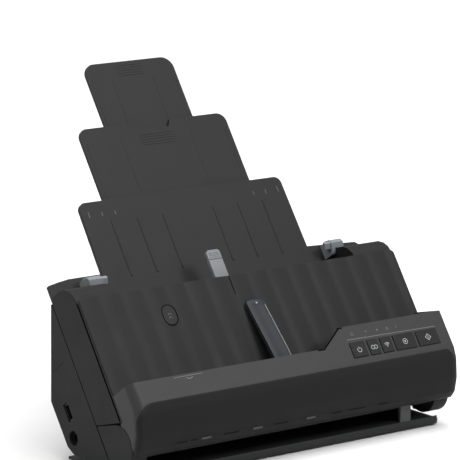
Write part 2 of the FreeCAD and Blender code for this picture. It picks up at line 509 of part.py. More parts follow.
b = new_body("output_lever")
pad(b, "blade", "x", -8, 8, [(-14.6, -92.5), (-12.8, -72), (-4.6, -26), (-3.2, -23.0), (-1.2, -24.0), (-1.1, -28), (-9.2, -72), (-9.8, -92.5)])
pad(b, "boss", "x", -8, 8, circles=[(-12.2, -92.5, 3.4)])
pocket(b, "bore", "x", -9, 9, circles=[(-12.2, -92.5, 1.58)])

# sliding sheet support arm at the cover's top
b = new_body("support_arm")
pad(b, "bar", "y", 8, 11, [(-18, -40), (-5, -40), (-5, 23), (-7, 25.2), (-16, 25.2), (-18, 23)])
dress(b, "Fillet", "bar_rims", 0.8, lambda e: run_any("z", -18, 8)(e) or run_any("z", -5, 8)(e))

# latch button, latch bar with its two fingers
b = new_body("cover_button")
oval = [(-76.2 + 6.0 * math.cos(math.radians(t)), -23.9 + (2.0 if math.sin(math.radians(t)) > 0 else -2.0) + 6.0 * math.sin(math.radians(t))) for t in (15, 45, 75, 105, 135, 165, 195, 225, 255, 285, 315, 345)]
ring = [(-76.2 + 8.0 * math.cos(math.radians(t)), -23.9 + (2.0 if math.sin(math.radians(t)) > 0 else -2.0) + 8.0 * math.sin(math.radians(t))) for t in (15, 45, 75, 105, 135, 165, 195, 225, 255, 285, 315, 345)]
pad(b, "cap", "y", 0.15, 4.0, oval)
pad(b, "flange", "y", 3.3, 4.6, ring)
b = new_body("latch_bar")
pad(b, "bar", "x", -106, 106, [(13.5, -15.6), (13.5, -11.2), (16.5, -11.2), (16.5, -15.6)])
pad(b, "finger_left", "x", -104.5, -99.5, [(16.4, -15.6), (16.4, -11.2), (31.0, -11.2), (33.6, -12.4), (33.6, -15.6)])
pad(b, "finger_right", "x", 99.5, 104.5, [(16.4, -15.6), (16.4, -11.2), (31.0, -11.2), (33.6, -12.4), (33.6, -15.6)])

# pressure side: separation roller, two pinch roller rows, front sensor and glass
for name, d, v, r, xs in (("separation", "feed_drop", 19.8, 7.0, (-25, 25)),):
    node(cut(rod(xs[0], xs[1], v, (d, 0, -1), r), [rod(xs[0] - 1, xs[1] + 1, v, (d, 0, -1), 2.06)]), "separation_roller")
for name, d in (("transport", "transport_drop"), ("exit", "exit_drop")):
    rr = []
    for x0, x1 in ((-62, -44), (44, 62)):
        rr.append(cut(rod(x0, x1, 20.8, (d, 0, -1), 6), [rod(x0 - 1, x1 + 1, 20.8, (d, 0, -1), 2.06)]))
    node(fuse(rr), name + "_pinch_rollers")
node(fuse([rod(-34, 34, 19.8, ("feed_drop", 0, -1), 2), rod(-72, 72, 20.8, ("transport_drop", 0, -1), 2), rod(-72, 72, 20.8, ("exit_drop", 0, -1), 2)]), "pressure_shafts")
holders = []
for x0, x1, y, d, yf in ((-34, -30, 19.8, "feed_drop", 14), (30, 34, 19.8, "feed_drop", 14)):
    holders.append(cut(box(x0, x1, 14, 22.4, -VAL[d] - 4.5, -VAL[d] + 4.5), [rod(x0 - 1, x1 + 1, y, (d, 0, -1), 2)]))
for d in ("transport_drop", "exit_drop"):
    for x0, x1 in ((-72, -68), (68, 72)):
        holders.append(cut(box(x0, x1, 14, 22.5 if d == "transport_drop" else 22.5, -VAL[d] - 4.5, -VAL[d] + 4.5), [rod(x0 - 1, x1 + 1, 20.8, (d, 0, -1), 2)]))
node(fuse(holders), "roller_holders")
springs = []
for x0, x1, y, d in ((-34, -30, 14, "feed_drop"), (30, 34, 14, "feed_drop"), (-72, -68, 14, "transport_drop"), (68, 72, 14, "transport_drop"), (-72, -68, 14, "exit_drop"), (68, 72, 14, "exit_drop")):
    springs.append(spike((x0 + x1) / 2, 5.2, 14, -VAL[d], 1.8))
node(fuse(springs), "pressure_springs")
node(fuse([box(-36, 36, 3.4, 5.2, -30, -20), box(-75, 75, 3.4, 5.2, -55, -45), box(-75, 75, 3.4, 5.2, -99, -89)]), "spring_rails")
node(cut(box(-108, 108, 10, 22.4, -78, -64), [box(-104, 104, 21, 23, -74, -68)]), "front_sensor_bar")
node(box(-108.5, 108.5, 22.4, 24.4, -78.5, -63.5), "front_sensor_glass")

# control panel: board and five buttons
node(box(52, 141, -17.0, -15.4, -93, -73), "control_board")
for k, (x0, x1) in enumerate(((53.9, 68.3), (70.5, 80.6), (82.8, 93.5), (95.7, 116.1), (118.3, 139.0))):
    b = new_body(("power_button", "pairing_button", "wireless_button", "stop_button", "start_button")[k])
    pad(b, "cap", "y", -24.6, -19.4, [(x0, -90.5), (x1, -90.5), (x1, -78.3), (x0, -78.3)])
    dress(b, "Fillet", "cap_rim", 0.6, lambda e: all(abs(v.Y + 24.6) < 0.01 for v in e.Vertexes))
    pad(b, "flange", "y", -20.4, -19.4, [(x0 - 0.7, -91.4), (x1 + 0.7, -91.4), (x1 + 0.7, -77.4), (x0 - 0.7, -77.4)])
    pad(b, "stem", "y", -19.5, -17.9, [((x0 + x1) / 2 - 1.5, -86), ((x0 + x1) / 2 + 1.5, -86), ((x0 + x1) / 2 + 1.5, -83), ((x0 + x1) / 2 - 1.5, -83)])

# screws that hold the rear housing to the chassis
node(fuse([fuse([spike(x, 57.0, 66.0, z, 1.4), spike(x, 56.8, 58.55, z, 2.6)]) for x in (-60, 60) for z in (-42, -84)]), "chassis_screws")

# Every remaining length gets its own cell, all in one go, and is bound to it.
for obj, prop, alias, value in LATER:
    if doc.getObject(obj.Name) is not None:
        cell(alias, value)
sheet.recompute()
for obj, prop, alias, value in LATER:
    if doc.getObject(obj.Name) is not None:
        obj.setExpression(prop, "Dimensions." + alias)
doc.recompute()
bad = []
for o in doc.Objects:
    if "Invalid" in o.State or "Error" in o.State:
        bad.append("%s (%s) %s" % (o.Name, o.Label, o.State))
for n in NODES:
    s = n.Shape
    if s.isNull() or not s.isValid() or not s.Solids:
        bad.append("%s has no valid solid" % n.Label)
if bad:
    raise RuntimeError("; ".join(bad))
labels = [n.Label for n in NODES]
if len(set(labels)) != len(labels) or len(labels) > 60:
    raise RuntimeError("labels: %d, %s" % (len(labels), sorted(l for l in labels if labels.count(l) > 1)))
os.makedirs("parts", exist_ok=True)
box_all = FreeCAD.BoundBox()
for n in NODES:
    n.Shape.exportStep("parts/%s.step" % n.Label)
    box_all.add(n.Shape.BoundBox)
print("nodes", len(NODES), "box", box_all)
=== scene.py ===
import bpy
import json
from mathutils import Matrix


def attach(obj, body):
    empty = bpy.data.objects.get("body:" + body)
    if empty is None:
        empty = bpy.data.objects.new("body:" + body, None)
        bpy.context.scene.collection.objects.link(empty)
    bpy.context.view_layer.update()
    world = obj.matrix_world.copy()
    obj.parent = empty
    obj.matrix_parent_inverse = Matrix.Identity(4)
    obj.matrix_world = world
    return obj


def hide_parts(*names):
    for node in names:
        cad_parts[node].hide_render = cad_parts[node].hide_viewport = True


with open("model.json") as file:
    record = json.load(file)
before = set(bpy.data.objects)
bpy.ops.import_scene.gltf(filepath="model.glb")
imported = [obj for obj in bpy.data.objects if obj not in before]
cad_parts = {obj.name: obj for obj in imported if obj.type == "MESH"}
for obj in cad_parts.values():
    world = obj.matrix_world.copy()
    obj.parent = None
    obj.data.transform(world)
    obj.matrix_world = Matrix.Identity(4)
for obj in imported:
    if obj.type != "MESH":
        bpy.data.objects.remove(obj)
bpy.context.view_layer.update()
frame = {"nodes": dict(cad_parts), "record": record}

import json
import math
import bpy
import bmesh
from mathutils import Matrix, Vector

scene = bpy.context.scene
nodes = frame["nodes"]
K, S = math.cos(math.radians(35)), math.sin(math.radians(35))


def lean(x, v, w):
    """A point of the leaning body, x across, v behind the face, w along it (mm), as metres in the frame."""
    return Vector((x, v * K + w * S - 37.091, -v * S + w * K + 127.5)) / 1000


def desk(x, y, z):
    return Vector((x, y - 37.091, z + 127.5)) / 1000


# ---------------------------------------------------------------- materials
def material(name, colour, rough, grain=0.02, grain_scale=2600.0, mottle=0.06, metallic=0.0, wear=0.25,
             wear_colour=None, spec=0.5, coat=0.0, transmission=0.0, ior=1.5, brushed=False, rough_var=0.06):
    m = bpy.data.materials.new(name)
    m.use_nodes = True
    nt = m.node_tree
    n, l = nt.nodes, nt.links
    b = n["Principled BSDF"]
    b.inputs["Metallic"].default_value = metallic
    b.inputs["Specular IOR Level"].default_value = spec
    b.inputs["IOR"].default_value = ior
    b.inputs["Coat Weight"].default_value = coat
    b.inputs["Transmission Weight"].default_value = transmission
    tc = n.new("ShaderNodeTexCoord")
    mp = n.new("ShaderNodeMapping")
    l.new(tc.outputs["Object"], mp.inputs["Vector"])
    if brushed:
        mp.inputs["Scale"].default_value = (0.06, 1.0, 1.0)
    fine = n.new("ShaderNodeTexNoise")
    fine.inputs["Scale"].default_value = grain_scale
    fine.inputs["Detail"].default_value = 3.0
    l.new(mp.outputs["Vector"], fine.inputs["Vector"])
    broad = n.new("ShaderNodeTexNoise")
    broad.inputs["Scale"].default_value = 38.0
    broad.inputs["Detail"].default_value = 5.0
    broad.inputs["Roughness"].default_value = 0.62
    l.new(mp.outputs["Vector"], broad.inputs["Vector"])
    ramp = n.new("ShaderNodeValToRGB")
    ramp.color_ramp.elements[0].position = 0.32
    ramp.color_ramp.elements[1].position = 0.68
    lo = [max(0.0, c * (1 - mottle)) for c in colour]
    hi = [min(1.0, c * (1 + mottle)) for c in colour]
    ramp.color_ramp.elements[0].color = (*lo, 1)
    ramp.color_ramp.elements[1].color = (*hi, 1)
    l.new(broad.outputs["Fac"], ramp.inputs["Fac"])
    # grain varies the tone and darkens the bump's hollows a little, which is painted shade in the hollows
    gr = n.new("ShaderNodeMapRange")
    gr.inputs["From Min"].default_value = 0.3
    gr.inputs["From Max"].default_value = 0.7
    gr.inputs["To Min"].default_value = 0.90
    gr.inputs["To Max"].default_value = 1.10
    l.new(fine.outputs["Fac"], gr.inputs["Value"])
    mul = n.new("ShaderNodeVectorMath")
    mul.operation = "SCALE"
    l.new(ramp.outputs["Color"], mul.inputs[0])
    l.new(gr.outputs["Result"], mul.inputs["Scale"])
    # handling wear on the edges: where a rounded normal leaves the true one
    bev = n.new("ShaderNodeBevel")
    bev.samples = 4
    bev.inputs["Radius"].default_value = 0.0006
    geo = n.new("ShaderNodeNewGeometry")
    dot = n.new("ShaderNodeVectorMath")
    dot.operation = "DOT_PRODUCT"
    l.new(bev.outputs["Normal"], dot.inputs[0])
    l.new(geo.outputs["Normal"], dot.inputs[1])
    edge = n.new("ShaderNodeMapRange")
    edge.inputs["From Min"].default_value = 0.995
    edge.inputs["From Max"].default_value = 0.86
    edge.inputs["To Min"].default_value = 0.0
    edge.inputs["To Max"].default_value = wear
    l.new(dot.outputs["Value"], edge.inputs["Value"])
    wm = n.new("ShaderNodeMath")
    wm.operation = "MULTIPLY"
    l.new(edge.outputs["Result"], wm.inputs[0])
    l.new(broad.outputs["Fac"], wm.inputs[1])
    mix = n.new("ShaderNodeMix")
    mix.data_type = "RGBA"
    l.new(wm.outputs["Value"], mix.inputs["Factor"])
    l.new(mul.outputs["Vector"], mix.inputs["A"])
    wc = wear_colour or [min(1.0, c * 2.4 + 0.02) for c in colour]
    mix.inputs["B"].default_value = (*wc, 1)
    l.new(mix.outputs["Result"], b.inputs["Base Color"])
    rr = n.new("ShaderNodeMapRange")
    rr.inputs["From Min"].default_value = 0.3
    rr.inputs["From Max"].default_value = 0.7
    rr.inputs["To Min"].default_value = max(0.02, rough - rough_var)
    rr.inputs["To Max"].default_value = min(1.0, rough + rough_var)
    l.new(broad.outputs["Fac"], rr.inputs["Value"])
    l.new(rr.outputs["Result"], b.inputs["Roughness"])
    bump = n.new("ShaderNodeBump")
    bump.inputs["Strength"].default_value = 0.55
    bump.inputs["Distance"].default_value = grain / 1000
    l.new(fine.outputs["Fac"], bump.inputs["Height"])
    l.new(bump.outputs["Normal"], b.inputs["Normal"])
    return m


M = {
    "casing_black": material("casing_black", (0.0100, 0.0100, 0.0103), 0.60, spec=0.17),
    "panel_black": material("panel_black", (0.0110, 0.0110, 0.0113), 0.56, spec=0.17),
    "front_charcoal": material("front_charcoal", (0.024, 0.024, 0.0245), 0.50, spec=0.24),
    "stand_charcoal": material("stand_charcoal", (0.017, 0.0175, 0.018), 0.52, spec=0.24),
    "button_black": material("button_black", (0.0100, 0.0100, 0.0104), 0.46, grain=0.012, spec=0.17),
    "guide_grey": material("guide_grey", (0.172, 0.184, 0.198), 0.38, grain=0.008, coat=0.1),
    "inner_plastic": material("inner_plastic", (0.07, 0.07, 0.075), 0.5),
    "foot_rubber": material("foot_rubber", (0.022, 0.022, 0.022), 0.85, grain=0.04, grain_scale=1500),
    "roller_rubber": material("roller_rubber", (0.07, 0.07, 0.075), 0.78, grain=0.03, grain_scale=1800),
    "roller_white": material("roller_white", (0.70, 0.70, 0.67), 0.38, mottle=0.03),
    "bright_steel": material("bright_steel", (0.60, 0.60, 0.61), 0.24, metallic=1.0, brushed=True, grain=0.006),
    "sheet_steel": material("sheet_steel", (0.50, 0.51, 0.52), 0.36, metallic=1.0, mottle=0.10, grain=0.008, grain_scale=900),
    "sensor_body": material("sensor_body", (0.018, 0.018, 0.018), 0.5),
    "sensor_glass": material("sensor_glass", (0.75, 0.85, 0.80), 0.05, transmission=0.9, grain=0.001, mottle=0.02, wear=0.0, rough_var=0.02),
    "board_green": material("board_green", (0.018, 0.13, 0.055), 0.30, mottle=0.14, grain=0.012, grain_scale=700, coat=0.4),
    "shield_metal": material("shield_metal", (0.55, 0.55, 0.56), 0.30, metallic=1.0, brushed=True, grain=0.006),
    "socket_black": material("socket_black", (0.004, 0.004, 0.004), 0.45, grain=0.006, spec=0.12),
}
# a darker copy of the front's charcoal for the lower face: painted shade on a face that turns forward and down
face_painted_shade = material("face_painted_shade", (0.0092, 0.0092, 0.0095), 0.64, grain=0.022, spec=0.13)
# the lever's edges mix strongly towards a pale grey (wear 0.5): painted highlight along its edges
lever_grey = material("lever_grey", (0.017, 0.018, 0.0215), 0.44, grain=0.006, spec=0.20, coat=0.0, wear=0.5, wear_colour=(0.34, 0.36, 0.40))
tray_black = material("tray_black", (0.0125, 0.0125, 0.0130), 0.55, spec=0.20)
icon_white = material("icon_white", (0.29, 0.30, 0.31), 0.5, grain=0.003, wear=0.0, mottle=0.04)
icon_grey = material("icon_grey", (0.075, 0.075, 0.078), 0.5, grain=0.003, wear=0.0, mottle=0.04)
# pale grey for printed marks and for a painted highlight line above the keys
line_grey_print_and_highlight = material("line_grey_print_and_highlight", (0.12, 0.12, 0.124), 0.45, grain=0.003, wear=0.0, mottle=0.04)
# pale grey for the lever's grip dots and for the painted highlight strip down its edge
lever_light = material("lever_light", (0.26, 0.28, 0.31), 0.34, grain=0.004, wear=0.0)
# near-black for dark joints, and for the strips of painted shade set in gaps and along edges
seam_black_and_painted_shade = material("seam_black_and_painted_shade", (0.0012, 0.0012, 0.0012), 0.9, grain=0.004, wear=0.0, spec=0.03)

slot_of = {p["node"]: p["material_slot"] for p in frame["record"]["subparts"]}
for name, o in nodes.items():
    for i in range(len(o.material_slots)):
        o.material_slots[i].material = M[slot_of[name]]
    if not o.material_slots:
        o.data.materials.append(M[slot_of[name]])
nodes["support_arm"].material_slots[0].material = arm_grey = material("arm_grey", (0.138, 0.143, 0.153), 0.36, grain=0.008, coat=0.1)
nodes["usb_socket"].material_slots[0].material = material("socket_steel", (0.016, 0.016, 0.0165), 0.42, metallic=0.5, brushed=True, grain=0.006)
nodes["stand_post"].material_slots[0].material = material("post_grey", (0.046, 0.047, 0.049), 0.5, spec=0.3)
for name in ("input_tray", "tray_extension", "tray_tip"):
    nodes[name].material_slots[0].material = tray_black

# softened edges on the moulded pieces that stay
MOULDED = {
    "rear_housing": 0.35, "mid_frame": 0.35, "hinge_ear_left": 0.3, "hinge_ear_right": 0.3, "base_plate": 0.45, "stand_post": 0.4,
    "ribbed_panel": 0.3, "front_shell": 0.2, "input_tray": 0.35, "tray_extension": 0.35, "tray_tip": 0.35, "output_lever": 0.35,
    "support_arm": 0.35, "edge_guide_left": 0.35, "edge_guide_right": 0.35, "cover_button": 0.25, "power_button": 0.3,
    "pairing_button": 0.3, "wireless_button": 0.3, "stop_button": 0.3, "start_button": 0.3, "output_guide": 0.2, "rubber_feet": 0.4,
}
for name, width in MOULDED.items():
    o = nodes[name]
    w = o.modifiers.new("weld", "WELD")
    w.merge_threshold = 2e-6
    bv = o.modifiers.new("edge", "BEVEL")
    bv.width = width / 1000
    bv.segments = 2
    bv.limit_method = "ANGLE"
    bv.angle_limit = math.radians(32)
    bv.use_clamp_overlap = True
    bv.miter_outer = "MITER_ARC"
    wn = o.modifiers.new("shade", "WEIGHTED_NORMAL")
    wn.keep_sharp = False


# ---------------------------------------------------------------- piece helpers
def piece(name, bm, mat, body, smooth=True):
    me = bpy.data.meshes.new(name)
    bmesh.ops.remove_doubles(bm, verts=bm.verts, dist=1e-7)
    bmesh.ops.recalc_face_normals(bm, faces=bm.faces)
    bm.to_mesh(me)
    bm.free()
    for p in me.polygons:
        p.use_smooth = smooth
    me.materials.append(mat)
    o = bpy.data.objects.new(name, me)
    scene.collection.objects.link(o)
    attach(o, body)
    return o


def soften(o, width, segments=3, angle=30):
    b = o.modifiers.new("edge", "BEVEL")
    b.width = width / 1000
    b.segments = segments
    b.limit_method = "ANGLE"
    b.angle_limit = math.radians(angle)
    o.modifiers.new("shade", "WEIGHTED_NORMAL")
    return o


def solid(bm, front, back):
    """A closed prism between two matching loops of points."""
    a = [bm.verts.new(p) for p in front]
    c = [bm.verts.new(p) for p in back]
    bm.faces.new(a)
    bm.faces.new(list(reversed(c)))
    for i in range(len(a)):
        j = (i + 1) % len(a)
        bm.faces.new((a[j], a[i], c[i], c[j]))


def face_prism(bm, pts, v0, v1):
    solid(bm, [lean(x, v0, w) for x, w in pts], [lean(x, v1, w) for x, w in pts])


def stroke(pts, width, closed=False):
    """Quads that follow a line of points in the face plane, mitred at the corners."""
    n = len(pts)
    sides = []
    for i in range(n):
        a = pts[(i - 1) % n] if closed or i else pts[0]
        b = pts[(i + 1) % n] if closed or i < n - 1 else pts[-1]
        p = pts[i]
        d0 = Vector((p[0] - a[0], p[1] - a[1]))
        d1 = Vector((b[0] - p[0], b[1] - p[1]))
        if d0.length < 1e-9:
            d0 = d1
        if d1.length < 1e-9:
            d1 = d0
        d0.normalize()
        d1.normalize()
        t = (d0 + d1).normalized()
        nrm = Vector((-t.y, t.x))
        m = width / 2 / max(0.35, nrm.dot(Vector((-d0.y, d0.x))))
        sides.append(((p[0] + nrm.x * m, p[1] + nrm.y * m), (p[0] - nrm.x * m, p[1] - nrm.y * m)))
    return sides


def line(bm, pts, width, v0, v1, closed=False):
    sd = stroke(pts, width, closed)
    rows = [[bm.verts.new(lean(x, v, w)) for (x, w), v in ((a, v0), (b, v0), (b, v1), (a, v1))] for a, b in sd]
    m = len(rows)
    for i in range(m if closed else m - 1):
        p, q = rows[i], rows[(i + 1) % m]
        for c in range(4):
            d = (c + 1) % 4
            bm.faces.new((p[c], q[c], q[d], p[d]))
    if not closed:
        bm.faces.new(rows[0])
        bm.faces.new(list(reversed(rows[-1])))


def arc(cx, cw, r, a0, a1, n=18):
    return [(cx + r * math.cos(math.radians(a0 + (a1 - a0) * i / n)), cw + r * math.sin(math.radians(a0 + (a1 - a0) * i / n))) for i in range(n + 1)]


def ring(bm, cx, cw, r, width, v0, v1, n=28):
    line(bm, arc(cx, cw, r, 0, 360, n)[:-1], width, v0, v1, closed=True)


def disc(bm, cx, cw, r, v0, v1, n=20):
    face_prism(bm, arc(cx, cw, r, 0, 360, n)[:-1], v0, v1)


# ---------------------------------------------------------------- key icons, generic
KV = (-24.64, -24.5)
bm = bmesh.new()
line(bm, arc(61.1, -84.7, 1.9, 128, 412), 0.45, *KV)
line(bm, [(61.1, -84.1), (61.1, -82.0)], 0.45, *KV)
piece("power_icon", bm, icon_white, "power_key", smooth=False)
bm = bmesh.new()
ring(bm, 74.1, -84.6, 1.5, 0.42, *KV)
ring(bm, 76.9, -84.6, 1.5, 0.42, KV[0] - 0.02, KV[1] - 0.02)
piece("pairing_icon", bm, icon_white, "pairing_key", smooth=False)
bm = bmesh.new()
for r in (1.3, 2.35, 3.4):
    line(bm, arc(88.1, -86.3, r, 48, 132, 12), 0.42, *KV)
disc(bm, 88.1, -86.1, 0.4, *KV)
piece("wireless_icon", bm, icon_white, "wireless_key", smooth=False)
bm = bmesh.new()
ring(bm, 105.9, -84.4, 2.1, 0.45, *KV)
face_prism(bm, [(105.2, -85.1), (106.6, -85.1), (106.6, -83.7), (105.2, -83.7)], *KV)
piece("stop_icon", bm, icon_white, "stop_key", smooth=False)
bm = bmesh.new()
line(bm, [(128.7, -81.7), (131.3, -84.2), (128.7, -86.7), (126.1, -84.2)], 0.45, *KV, closed=True)
face_prism(bm, [(128.4, -85.2), (129.0, -85.2), (129.0, -83.2), (128.4, -83.2)], *KV)
piece("start_icon", bm, icon_white, "start_key", smooth=False)

# ---------------------------------------------------------------- marks on the control panel and the band, and a painted highlight line above the keys
PV = (-23.85, -23.7)
# painted highlight: a thin pale line just above the keys, standing in for light caught at the edge of the recess there
bm = bmesh.new()
line(bm, [(53.5, -75.3), (139.3, -76.4)], 0.4, *PV)
piece("panel_painted_highlight_line", bm, line_grey_print_and_highlight, "cover", smooth=False)
bm = bmesh.new()
ring(bm, 60, -71.2, 1.1, 0.4, *PV)
for r in (0.8, 1.7):
    line(bm, arc(73.5, -72.2, r, 45, 135, 8), 0.4, *PV)
disc(bm, 84.5, -71.2, 0.8, *PV)
line(bm, [(93, -72.3), (94.2, -70.1), (95.4, -72.3)], 0.4, *PV, closed=True)
line(bm, [(103, -72.3), (103, -70.1)], 0.45, *PV)
piece("indicator_marks", bm, icon_grey, "cover", smooth=False)
bm = bmesh.new()
line(bm, [(-110.5, -80.7), (-84.5, -80.7)], 0.32, *PV)
line(bm, [(-99.4, -82.2), (-96.6, -83.3), (-93.8, -82.2)], 0.45, *PV)
piece("paper_mark", bm, line_grey_print_and_highlight, "cover", smooth=False)
bm = bmesh.new()
line(bm, arc(-76.2, -24.6, 1.9, 25, 155, 12), 0.4, 0.08, 0.2)
line(bm, [(-77.8, -26.6), (-76.2, -25.2), (-74.6, -26.6)], 0.4, 0.08, 0.2)
piece("cover_button_mark", bm, icon_grey, "latch_button", smooth=False)

# ---------------------------------------------------------------- pieces laid on the moulded surfaces
from mathutils.bvhtree import BVHTree


def tree(name):
    me = nodes[name].data
    return BVHTree.FromPolygons([v.co.copy() for v in me.vertices], [tuple(p.vertices) for p in me.polygons])


def hit(t, start, towards):
    p, nrm, _, _ = t.ray_cast(start, (towards - start).normalized(), 0.4)
    return (p, nrm) if p is not None else (None, None)


shell = tree("front_shell")
CHAIN = [(-23.8, -96.1), (-22.9, -99.4), (-21.6, -104.0), (-18.6, -110.0), (-13.8, -116.8), (-9.4, -121.6), (-5.4, -125.0), (-1.6, -126.4), (1.6, -127.1)]


def along(t):
    """A point of the front's profile, and the way out of it, at a share t from the crease to the lip."""
    lens = [math.dist(CHAIN[i], CHAIN[i + 1]) for i in range(len(CHAIN) - 1)]
    d = t * sum(lens)
    for i, ln in enumerate(lens):
        if d <= ln or i == len(lens) - 1:
            f = d / ln
            p = (CHAIN[i][0] + (CHAIN[i + 1][0] - CHAIN[i][0]) * f, CHAIN[i][1] + (CHAIN[i + 1][1] - CHAIN[i][1]) * f)
            break
        d -= ln
    ang = math.radians(180 + 10 + 42 * min(1.0, t / 0.82) + max(0.0, t - 0.82) / 0.18 * 26)
    return p, (math.cos(ang), math.sin(ang))


def shell_at(x, t, lift):
    x = max(-138.0, x) if x < 0 else min(146.0, x)
    (v, w), (nv, nw) = along(t)
    a = lean(x, v + nv * 9, w + nw * 9)
    b = lean(x, v - nv * 9, w - nw * 9)
    p, _ = hit(shell, a, b)
    if p is None:
        p = lean(x, v, w)
    out = (a - b).normalized()
    return p + out * (lift / 1000), out


LEN = sum(math.dist(CHAIN[i], CHAIN[i + 1]) for i in range(len(CHAIN) - 1))
rows_n, cols_n = 34, 96
x_left, x_right, rad, t_end = -149.5, 148.6, 14.0, 1.0
outer, inner = [], []
bm = bmesh.new()
for i in range(rows_n + 1):
    t = t_end * (i / rows_n) ** 1.25
    d = t * LEN
    cut = rad - math.sqrt(max(0.0, rad * rad - (rad - d) ** 2)) if d < rad else 0.0
    lo, hi = x_left + cut, x_right - cut * 0.5
    ro, ri = [], []
    for j in range(cols_n + 1):
        x = lo + (hi - lo) * j / cols_n
        # the edge rolls down onto the shell
        dx = min(x - lo, hi - x)
        dd = min(dx, d + 0.001, (t_end * LEN - d) * 1.0 + 0.001)
        lift = 0.42 * min(1.0, math.sqrt(max(0.0, dd) / 1.0))
        p, out = shell_at(x, t, lift + 0.05)
        p = p + Vector((x / 1000 - p.x, 0, 0))
        (pv, pw), _ = along(t)
        room = math.hypot(pv - 15.9, pw + 113.4) - 17.9
        deep = 0.35 + max(0.0, min(1.0, (-137.5 - x) / 9.0)) * 5.8 + max(0.0, min(1.0, (x - 143.0) / 5.0)) * 1.6
        deep = max(0.3, min(deep, room))
        ro.append(bm.verts.new(p))
        ri.append(bm.verts.new(p - out * ((lift + deep) / 1000)))
    outer.append(ro)
    inner.append(ri)
for i in range(rows_n):
    for j in range(cols_n):
        bm.faces.new((outer[i][j], outer[i][j + 1], outer[i + 1][j + 1], outer[i + 1][j]))
        bm.faces.new((inner[i][j], inner[i + 1][j], inner[i + 1][j + 1], inner[i][j + 1]))
for i in range(rows_n):
    bm.faces.new((outer[i][0], outer[i + 1][0], inner[i + 1][0], inner[i][0]))
    bm.faces.new((outer[i + 1][-1], outer[i][-1], inner[i][-1], inner[i + 1][-1]))
for j in range(cols_n):
    bm.faces.new((outer[0][j + 1], outer[0][j], inner[0][j], inner[0][j + 1]))
    bm.faces.new((outer[-1][j], outer[-1][j + 1], inner[-1][j + 1], inner[-1][j]))
# the front face's skin, coloured darker than the band of the same shell: painted shade
piece("front_face_facet", bm, face_painted_shade, "cover")


def tab(bm, x, t, wide, tall, lift, sink=0.4):
    """A small raised block on the front's underside."""
    pts = []
    dt = tall / LEN / 2
    for xx, tt in ((x - wide / 2, t - dt), (x + wide / 2, t - dt), (x + wide / 2, t + dt), (x - wide / 2, t + dt)):
        pts.append((shell_at(xx, tt, lift)[0], shell_at(xx, tt, -sink)[0]))
    solid(bm, [p[0] for p in pts], [p[1] for p in pts])


bm = bmesh.new()
for x in (-89, -42, 8):
    tab(bm, x, 0.80, 8.5, 1.5, 1.0)
piece("lip_tabs", bm, material("lip_tab", (0.036, 0.036, 0.037), 0.5, spec=0.3), "cover", smooth=False)
# painted shade: near-black blocks along the lip, standing in for the shade in its slots
bm = bmesh.new()
for x, wide in ((-111, 9), (-100, 5), (-66, 14), (-20, 12), (33, 10), (52, 16), (78, 9)):
    tab(bm, x, 0.80, wide, 1.1, 0.56)
piece("lip_slots_painted_shade", bm, material("slot_painted_shade", (0.0048, 0.0048, 0.0049), 0.8, grain=0.006, wear=0.0, spec=0.08), "cover", smooth=False)

# the output lever: a crowned blade with a rounded top, on the hub that its pin passes through
def table(pts, w):
    for i in range(len(pts) - 1):
        (a, b), (c, d) = pts[i], pts[i + 1]
        if a <= w <= c:
            return b + (d - b) * (w - a) / (c - a)
    return pts[0][1] if w < pts[0][0] else pts[-1][1]


LF = [(-92.5, -14.6), (-72, -12.8), (-26, -4.6), (-23, -3.2)]
LB = [(-92.5, -9.8), (-72, -9.2), (-28, -1.25), (-23, -1.15)]
TOPW, TR = -23.0, 4.6


def half_wide(w):
    d = TOPW - w
    return 7.95 if d >= TR else 7.95 - TR + math.sqrt(max(0.0, TR * TR - (TR - d) ** 2))


def lever_v(x, w):
    h = max(0.5, half_wide(w))
    u = min(1.0, abs(x) / h)
    crown = 0.75 * u ** 4
    dish = 0.32 * max(0.0, 1 - (u / 0.72) ** 2) if -84 < w < -29 else 0.0
    roll = 0.8 * max(0.0, 1 - (TOPW - w) / 2.2) ** 2
    return table(LF, w) + crown + dish + roll


bm = bmesh.new()
ws = [-92.5 + (TOPW - 4.6 + 92.5) * i / 40 for i in range(41)] + [TOPW - 4.6 + 4.6 * math.sin(math.pi / 2 * i / 9) for i in range(1, 10)]
N = 20
fr, bk = [], []
for w in ws:
    h = half_wide(w)
    fr.append([bm.verts.new(lean(-h + 2 * h * j / N, lever_v(-h + 2 * h * j / N, w), w)) for j in range(N + 1)])
    bk.append([bm.verts.new(lean(-h + 2 * h * j / N, table(LB, w), w)) for j in range(N + 1)])
for i in range(len(ws) - 1):
    for j in range(N):
        bm.faces.new((fr[i][j], fr[i][j + 1], fr[i + 1][j + 1], fr[i + 1][j]))
        bm.faces.new((bk[i][j + 1], bk[i][j], bk[i + 1][j], bk[i + 1][j + 1]))
    bm.faces.new((fr[i][0], fr[i + 1][0], bk[i + 1][0], bk[i][0]))
    bm.faces.new((fr[i + 1][N], fr[i][N], bk[i][N], bk[i + 1][N]))
for j in range(N):
    bm.faces.new((fr[0][j + 1], fr[0][j], bk[0][j], bk[0][j + 1]))
    bm.faces.new((fr[-1][j], fr[-1][j + 1], bk[-1][j + 1], bk[-1][j]))
lever = soften(piece("output_lever_blade", bm, lever_grey, "lever"), 0.3, 2, 40)
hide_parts("output_lever")
bm = bmesh.new()
HUB = 30
rings = []
for x in (-7.9, 7.9):
    rings.append([[bm.verts.new(lean(x, -12.2 + r * math.cos(2 * math.pi * i / HUB), -92.5 + r * math.sin(2 * math.pi * i / HUB))) for i in range(HUB)] for r in (3.4, 1.6)])
